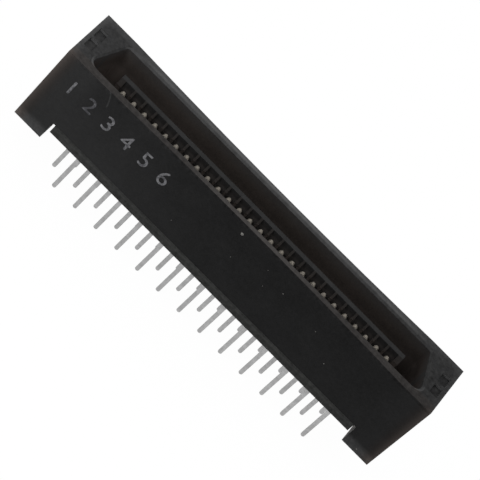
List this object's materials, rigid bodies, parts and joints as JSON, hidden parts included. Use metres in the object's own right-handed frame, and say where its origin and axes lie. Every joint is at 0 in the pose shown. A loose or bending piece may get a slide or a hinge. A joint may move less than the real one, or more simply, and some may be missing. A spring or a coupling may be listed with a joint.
{
  "type": "board-to-board connector",
  "caption": "Straight two-row board-to-board connector: black D-shaped shroud, central tongue with gilt spring contacts, staggered solder tails in a tail plate.",
  "frame": {"origin": "middle of the board seat: the plane of the undersides of the two feet", "axes": "+Z is the mating direction, away from the board; +X runs along the contact rows; -Y is the wide side of the D-shaped opening"},
  "size_m": [0.043, 0.0072, 0.0127],
  "materials": {
    "housing": "black glass-filled moulding, satin",
    "tail_plate": "black glass-filled moulding, slightly duller",
    "contact": "stamped copper alloy, gilt springs and dull tinned tails"
  },
  "bodies": {
    "root": {"housing": "housing", "tail_plate": "tail_plate", "contact_a01": "contact", "contact_a02": "contact", "contact_a03": "contact", "contact_a04": "contact", "contact_a05": "contact", "contact_a06": "contact", "contact_a07": "contact", "contact_a08": "contact", "contact_a09": "contact", "contact_a10": "contact", "contact_a11": "contact", "contact_a12": "contact", "contact_a13": "contact", "contact_a14": "contact", "contact_a15": "contact", "contact_a16": "contact", "contact_a17": "contact", "contact_a18": "contact", "contact_a19": "contact", "contact_a20": "contact", "contact_a21": "contact", "contact_a22": "contact", "contact_a23": "contact", "contact_a24": "contact", "contact_a25": "contact", "contact_a26": "contact", "contact_b01": "contact", "contact_b02": "contact", "contact_b03": "contact", "contact_b04": "contact", "contact_b05": "contact", "contact_b06": "contact", "contact_b07": "contact", "contact_b08": "contact", "contact_b09": "contact", "contact_b10": "contact", "contact_b11": "contact", "contact_b12": "contact", "contact_b13": "contact", "contact_b14": "contact", "contact_b15": "contact", "contact_b16": "contact", "contact_b17": "contact", "contact_b18": "contact", "contact_b19": "contact", "contact_b20": "contact", "contact_b21": "contact", "contact_b22": "contact", "contact_b23": "contact", "contact_b24": "contact", "contact_b25": "contact", "contact_b26": "contact"}
  },
  "joints": []
}
